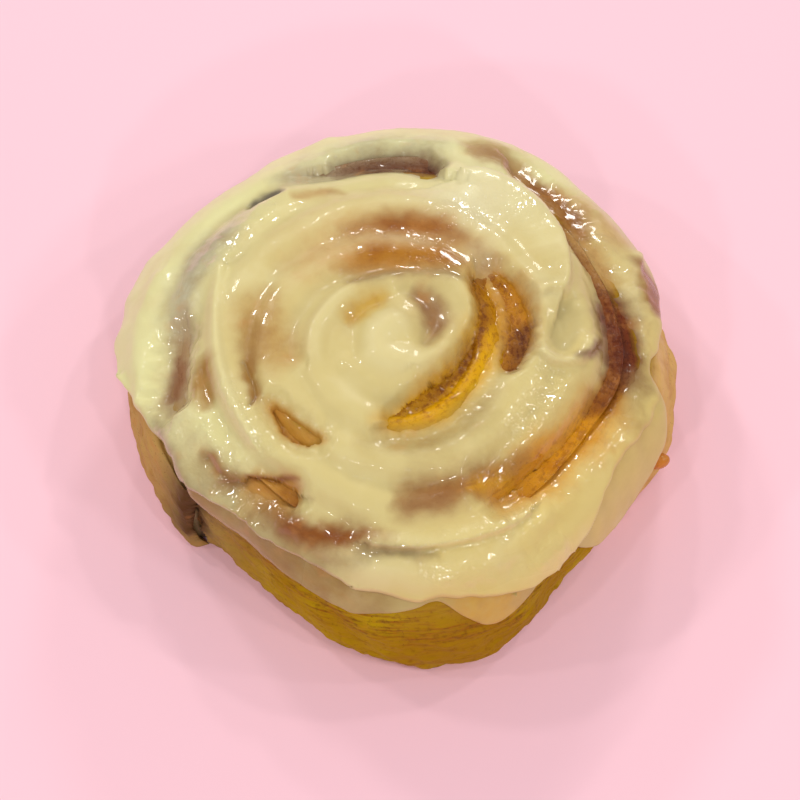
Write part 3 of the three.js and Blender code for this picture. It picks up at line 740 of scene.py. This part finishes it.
# Where the icing was torn open and the roll shows: a line, half widths along it, and how far the
# icing takes to thicken again on the line's left and on its right
windows = [
    ([[13.9, 7.8], [15.5, 1.9], [14.8, -4.6], [11.9, -11], [7.6, -16.2], [3.4, -19.4], [0, -21]],
     [0.7, 1.3, 1.6, 1.9, 2.6, 2.9, 1.6], 2.4, 1.0),
    ([[17.2, 9.8], [20.2, 4.6], [21.2, -0.4], [20.7, -5.2], [19, -9]],
     [0.4, 1.0, 1.4, 1.7, 1.2], 1.2, 1.4),
    ([[-10.5, 37], [-5, 38.4], [-0.6, 38.6], [3.4, 37.2], [5.8, 35.2]],
     [0.4, 0.9, 1.2, 1.3, 0.8], 1.4, 6.0),
    ([[21.8, 36.2], [25.5, 32.5], [28.6, 28.3], [30.7, 23.6], [32, 19.5], [34, 15.5], [36.6, 11.8]],
     [0.3, 0.5, 0.6, 0.6, 0.5, 0.4, 0.3], 3.0, 1.4),
    ([[37.6, 9.8], [38.7, 4.5], [39.8, -0.3], [39.7, -5.5], [37.6, -11], [34.2, -16], [31, -20.4],
      [27, -25.2], [22.2, -29.4], [17.2, -33]],
     [0.4, 1.2, 2.0, 2.1, 1.5, 0.8, 0.5, 0.5, 0.5, 0.3], 2.8, 3.4),
    ([[-37.6, -1.4], [-38.2, -6.5], [-38.5, -11], [-38.1, -14]], [0.3, 0.4, 0.45, 0.3], 1.6, 2.4),
    ([[-21.4, -18.4], [-19.4, -21.2], [-16.8, -23.4], [-13.8, -24.7]], [0.4, 1.1, 1.2, 0.4], 0.9, 0.9),
    ([[-25.6, -29.8], [-22, -31.4], [-18.4, -32.8]], [0.7, 1.2, 0.8], 0.8, 2.0),
]

# Where the knife dragged fine broken wrinkles: a line and half its width
wrinkles = [
    ([[-33.5, 13.1], [-29.6, 20], [-24.8, 24.1]], 3.0),
    ([[-37, 0], [-38, -10], [-36, -19]], 2.2),
    ([[-32, -21.1], [-29.6, -25.4], [-26, -31], [-18, -36]], 3.4),
    ([[-28, -15], [-25.5, -21], [-22, -25]], 2.4),
    ([[21, -35.3], [11.5, -41], [1.1, -42.6]], 2.0),
    ([[31, -20], [24, -27.4], [16, -33]], 2.6),
    ([[-11, 17], [-4, 17.6], [6, 16]], 2.2),
    ([[8, 20], [17, 24], [23, 22]], 5.0),
    ([[-13, 7], [-7, 9.6], [1, 10.6], [10, 9.4]], 1.0),
    ([[14.4, 7], [15, 0], [12.4, -8], [7, -14.4]], 1.3),
    ([[20.8, 2], [20.6, -6], [17, -9]], 1.4),
    ([[39, 8], [40, -2], [37, -12]], 2.4),
    ([[-22, -17], [-17, -22], [-12, -24]], 1.2),
    ([[-2, 37], [5, 35]], 2.2),
    ([[36, 20], [37.5, 12], [38.6, 4]], 2.0),
    ([[22, -10], [26, -13], [20, -22]], 3.0),
    ([[4, -45.6], [12, -46.6], [20, -42.6]], 1.6),
    ([[9, -46.4], [18, -43.6], [26, -38]], 1.7),
]


def window_field(x, y):
    """Above 0 inside the nearest window, and for each place its distances outside all of them."""
    inside = np.full(x.shape, -far_away)
    cover, lift = np.ones(x.shape), np.ones(x.shape)
    ragged = 0.22 * mottle(x, y, 1.4, 11) + 0.12 * mottle(x, y, 0.6, 12)
    for path, halves, left, right in windows:
        apart, share, side = beside(path, x, y)
        half = np.interp(share, np.linspace(0, 1, len(halves)), halves)
        gap = apart - half - ragged
        inside = np.maximum(inside, -gap)
        length = np.where(side > 0, left, right)
        out = np.maximum(gap, 0)
        crisp = 0.5 * np.sqrt(1 - (1 - np.clip(out / 0.6, 0, 1)) ** 2) + 0.5 * ease(out, 0, 3.5)
        soft = ease(out, -0.3, 2.2 * length)
        lift = lift * np.where(length < 1, crisp, soft)
        cover = cover * (1 - np.exp(-((out / (0.5 * np.minimum(length, 2.4))) ** 1.1)))
    return inside, cover, lift


def furrow_share(angle, level):
    """1 in a furrow between two turns, 0 on the crown of a turn."""
    phase = 1 + seam_lead_in + (outer_seam - level) / turn_pitch - turns_past(angle)
    fade = ease(level, 0.08, 0.2) * (1 - ease(level, 0.87, 0.95))
    return fade * (0.5 + 0.5 * np.cos(2 * np.pi * phase)) ** 1.5


def hem_lean(angle, heights):
    height = along(heights, np.mod(angle, 2 * np.pi) / (2 * np.pi) * len(heights))
    way = angle * usual_radius + 300
    height = height + 0.5 * mottle(way, 0, 5.5, 6) + 0.25 * mottle(way, 0, 2.3, 9)
    up = np.clip((height - widest_at) / (dough_top - widest_at), 0, 1)
    return lean_at((1 - up**dome_fullness) ** (1 / dome_fullness))


def coat_spots(angle, lean, out, sink):
    level, rise = level_and_rise(lean)
    tall = dough_top - widest_at
    normal = np.stack([level ** (dome_fullness - 1) / outline(angle), rise ** (dome_fullness - 1) / tall])
    normal = normal / np.hypot(*normal)
    back = turns_past(angle)
    past = np.minimum(1, 1.2 - (1 - back) / icing_tail_slope)
    radius = ring(angle, level) * (1 + tail_swell(back, level, np.maximum(0, past)))
    return place(angle, radius + out * normal[0], widest_at + tall * rise + out * normal[1] - sink)


coat, angle, share = round_sheet(icing_steps)
lean = share * hem_lean(angle, hem_heights)
level, _ = level_and_rise(lean)
radius = ring(angle, level)
x, y = middle[0] + radius * np.cos(angle), middle[1] + radius * np.sin(angle)

# The grid's corners nearest a window's edge are drawn onto it, and the faces inside are taken out
step = 0.02
inside, _, _ = window_field(x, y)
slope_x = (window_field(x + step, y)[0] - window_field(x - step, y)[0]) / (2 * step)
slope_y = (window_field(x, y + step)[0] - window_field(x, y - step)[0]) / (2 * step)
steep = np.maximum(slope_x**2 + slope_y**2, 0.2)
reach = 0.24
drawn = abs(inside) / np.sqrt(steep) < reach
x = np.where(drawn, x - inside * slope_x / steep, x)
y = np.where(drawn, y - inside * slope_y / steep, y)
angle = np.where(drawn, np.arctan2(y - middle[1], x - middle[0]), angle)
level = np.where(drawn, level_at(angle, np.hypot(x - middle[0], y - middle[1])), level)
lean = np.where(drawn, lean_at(level), lean)
open_air = (inside > 0) | drawn
well_inside = (inside > 0) & ~drawn
coat.verts.ensure_lookup_table()
coat.verts.index_update()
doomed = [face for face in coat.faces
          if all(open_air[corner.index] for corner in face.verts)
          or any(well_inside[corner.index] for corner in face.verts)]
bmesh.ops.delete(coat, geom=doomed, context="FACES")

_, cover, lift = window_field(x, y)
valleys = furrow_share(angle, level)
top = icing_gap + icing_coat - valley * valleys
for path, left, right, height in ridges:
    apart, _, side = beside(path, x, y)
    top = top + height * np.exp(-((apart / np.where(side > 0, left, right)) ** 2))
dragged = np.zeros(x.shape)
for path, width in wrinkles:
    apart, _, _ = beside(path, x, y)
    dragged = np.maximum(dragged, np.exp(-((apart / width) ** 2)))
top = top + 0.18 * mottle(x, y, 6, 21) + 0.07 * mottle(x, y, 2.6, 22)
top = top + (0.3 + dragged) * (0.12 * mottle(x, y, 1.6, 23) + 0.07 * mottle(x, y, 0.9, 24))
paint, painted = painting(x, y)
ground, paint = paint[:, 3:], paint[:, :3]
top = top - clear_sink * painted
stain_below = ease(furrow_drop(angle, np.minimum(level, 1)), 0.4, 2.0)[:, None]
below_it = mix(shade(172, 128, 60), shade(140, 88, 38), stain_below)
paint = mix(below_it, paint, ease(painted, 0.0, 0.3)[:, None])
cover = cover * (1 - painted)
hem, lip = hem_lean(angle, hem_heights), hem_lean(angle, lip_heights)
thick = np.sqrt(np.clip((lip - lean) / lip_round, 0, 1))
sheet = sheet_out + 1.2 * ease(x, 26, 34) + 0.3 * ease(-x, 26, 34) + 0.1 * mottle(x, y, 2, 41)
top = np.where(lip < hem, sheet + (top - sheet) * thick, top)
thin_sheet = np.where(lip < hem, 1 - thick, 0)
turned = np.degrees(np.mod(angle, 2 * np.pi))
at_left = ease(abs(turned - left_sheet), 34, 16)
at_front = ease(abs(turned - front_sheet), 14, 6)
at_right = ease(abs(np.mod(turned + 180, 360) - 180), 26, 10)
thinning = at_left + at_right
edge = np.sqrt(1 - (1 - np.clip((hem - lean) / (0.03 + 0.11 * thinning), 0, 1)) ** 2)
lift = lift * edge
sink = np.minimum(furrow_drop(angle, np.minimum(level, 1)), bridge)
out = skin_edge + (np.maximum(top, thinnest) - skin_edge) * lift
over = coat_spots(angle, lean, out, sink * (1 - lift))
under = coat_spots(angle, lean, icing_under, sink)

# The icing's own colour with light and shade painted into it (cooler light on the left and back, warmer
# light at the front right, darker in the dips, a glare at the top right), and what it lets show from below
painted_warm_light = ease(x - 0.9 * y, 28, 62)[:, None]
raised = ease(top, 2.3, 3.6)[:, None]
painted_cool_light = (ease(level, 0.5, 0.85) * np.maximum(ease(-x, 5, 32), ease(y, 18, 36)))[:, None]
painted_dip_shade = ease(2.0 - top, 0, 1.0)[:, None]
spread = mix(shade(210, 193, 132), shade(218, 204, 148), raised)
# Painted light: cooler towards the left and back, warmer towards the front right; then painted shade in the
# dips
spread = mix(spread, shade(228, 226, 168), 0.8 * painted_cool_light)
spread = mix(spread, shade(222, 195, 108), 0.55 * painted_warm_light)
spread = mix(spread, shade(184, 168, 114), 0.75 * painted_dip_shade)
# A painted highlight: whiter cream where a lamp's glare falls at the top right
painted_glare = 0.45 * np.exp(-((x - 13) ** 2 + (y - 25) ** 2) / 64)[:, None]
spread = mix(spread, shade(240, 236, 206), painted_glare)
golden = ease(abs(turned - caramel_sheet), 17, 4)
behind_sheet = mix(shade(150, 112, 40), shade(206, 152, 10), golden[:, None])
paint = mix(paint, behind_sheet, thin_sheet[:, None])
cover = cover * (1 - (0.16 + 0.3 * at_front + 0.4 * golden) * thin_sheet)
cover = cover * (1 - 0.3 * at_left * ease(hem - lean, 0.16, 0) * (1 - thin_sheet))
cool_sheet = (0.85 * thin_sheet * ease(-x, 8, 24))[:, None]
spread = mix(spread, shade(194, 210, 150), cool_sheet)

came_from, on_top = close_up(coat, under, over)
icing_mesh = bpy.data.meshes.new("icing")
coat.to_mesh(icing_mesh)
rim = np.zeros(len(coat.verts), bool)
for edge in coat.edges:
    if on_top[edge.verts[0].index] != on_top[edge.verts[1].index]:
        rim[edge.verts[0].index] = rim[edge.verts[1].index] = True
coat.free()
set_attribute(icing_mesh, "spread", "FLOAT_COLOR", np.c_[spread, np.ones(len(spread))][came_from])
set_attribute(icing_mesh, "paint", "FLOAT_COLOR", np.c_[paint, ground * painted[:, None]][came_from])
set_attribute(icing_mesh, "cover", "FLOAT", cover[came_from])
ways = strand_way(ring(angle, level) - dome_height(level), angle)
set_attribute(icing_mesh, "strands", "FLOAT_VECTOR", ways[came_from])
set_attribute(icing_mesh, "dragged", "FLOAT", dragged[came_from])
# The underside lies on the dough where nobody sees it, so it needs fewer faces
icing_blank = bpy.data.objects.new("icing_blank", icing_mesh)
bpy.context.scene.collection.objects.link(icing_blank)
hidden = icing_blank.vertex_groups.new(name="underside")
hidden.add([int(i) for i in np.flatnonzero(~on_top & ~rim)], 1.0, "REPLACE")
thinned = icing_blank.modifiers.new("underside", "DECIMATE")
thinned.vertex_group, thinned.ratio = hidden.name, underside_kept
icing_mesh = as_modified(icing_blank)
bpy.data.objects.remove(icing_blank)

cheese = Finish("cream_cheese_icing")
spread_color = cheese.attribute("spread")
covered = cheese.attribute("cover", out=2)
dragged_mask = cheese.attribute("dragged", out=2)
strands = cheese.attribute("strands", out=1)
spot = cheese.node("TexCoord", {}, out=3)
soft = cheese.noise(spot, 90, 3)
wisp = cheese.noise(spot, 240, 4, 0.6)
fine = cheese.noise(spot, 700, 2, 0.55)
bead = cheese.noise(spot, 1500, 2, 0.5)
cream_color = cheese.blend(cheese.band(soft, 0.5, 0.75) * 0.25, spread_color, tone(206, 182, 128))
cream_color = cheese.blend(cheese.band(soft, 0.5, 0.25) * 0.25, cream_color, tone(230, 220, 172))
clear = 1 - covered
broken = covered + (wisp - 0.5) * clear * covered * 2.6
roll_below = wet_roll(cheese, spot, strands)
colour = cheese.blend(cheese.band(broken, -0.1, 1.1), roll_below, cream_color)
wetness = cheese.band(dragged_mask * 0.8 + clear * 0.5, 0.0, 0.9)
combed = cheese.noise(strands, 1.6, 3, 0.6)
relief = soft * 0.3 + (fine * 0.6 + bead * 0.5) * (0.12 + dragged_mask * 0.9) + combed * clear * 0.4
bump = cheese.node("Bump", {}, {"Strength": 0.4, "Distance": 0.0006, "Height": relief})
icing_finish = cheese.surface(
    Base_Color=colour, Roughness=0.38 - wetness * 0.28, Normal=bump,
    Subsurface_Weight=0.15, Subsurface_Radius=(1.0, 0.9, 0.6), Subsurface_Scale=0.001,
    Specular_IOR_Level=0.2, Coat_Weight=0.16 + wetness * 0.72, Coat_Roughness=0.05,
)
finished("icing", icing_mesh, "icing", icing_finish)


# The table: a plain pale pink board with nothing else on it. Twelve small soft lamps stand all
# round the bun at different heights, and the camera looks down at it from the front.
table_half_width = 1.5
world_light = 0.35
lamp_distance = 0.75
lamp_aim = Vector((0, 0, 0.02))
camera_lens = 96.5
camera_distance = 0.390
camera_climb = math.radians(60)
camera_aim = Vector((0.0, -0.00711, 0.01809))
table = bmesh.new()
bmesh.ops.create_grid(table, x_segments=1, y_segments=1, size=table_half_width)
floor_mesh = bpy.data.meshes.new("floor")
table.to_mesh(floor_mesh)
table.free()
floor = bpy.data.objects.new("floor", floor_mesh)
bpy.context.scene.collection.objects.link(floor)
board = Finish("pale_board")
pink = board.surface(Base_Color=tone(248, 202, 216), Roughness=0.8, Specular_IOR_Level=0.0)
floor_mesh.materials.append(pink)

world = bpy.data.worlds.new("studio")
world.use_nodes = True
sky = world.node_tree.nodes["Background"]
sky.inputs["Color"].default_value = (1.0, 0.97, 0.96, 1)
sky.inputs["Strength"].default_value = world_light
bpy.context.scene.world = world


def lamp(name, spot, size, power, colour):
    light = bpy.data.lights.new(name, "AREA")
    light.shape, light.size, light.energy, light.color = "DISK", size, power, colour
    holder = bpy.data.objects.new(name, light)
    bpy.context.scene.collection.objects.link(holder)
    holder.location = spot
    holder.rotation_euler = (lamp_aim - spot).to_track_quat("-Z", "Y").to_euler()


# Each lamp's degrees round from the back, degrees up, width in metres and power in watts
lamps = [
    (15, 30, 0.12, 1.0), (350, 44, 0.04, 0.4), (62, 58, 0.04, 0.44), (92, 44, 0.04, 0.34),
    (122, 43, 0.07, 0.54), (146, 62, 0.04, 0.44), (168, 32, 0.04, 0.7), (205, 36, 0.04, 0.6),
    (225, 66, 0.04, 0.34), (262, 44, 0.04, 0.4), (300, 56, 0.06, 0.5), (324, 38, 0.08, 0.76),
]
for number, (turn, climb, size, power) in enumerate(lamps):
    turn, climb = math.radians(turn), math.radians(climb)
    flat = math.cos(climb)
    away = Vector((math.sin(turn) * flat, math.cos(turn) * flat, math.sin(climb)))
    lamp(f"studio_light_{number}", lamp_distance * away, size, power, (1, 0.98, 0.94))

camera_data = bpy.data.cameras.new("camera")
camera_data.lens, camera_data.sensor_width = camera_lens, 36
camera = bpy.data.objects.new("camera", camera_data)
bpy.context.scene.collection.objects.link(camera)
away = Vector((0, -math.cos(camera_climb), math.sin(camera_climb)))
camera.location = camera_aim + camera_distance * away
camera.rotation_euler = (-away).to_track_quat("-Z", "Y").to_euler()
bpy.context.scene.camera = camera
bpy.context.scene.view_settings.view_transform = "Standard"
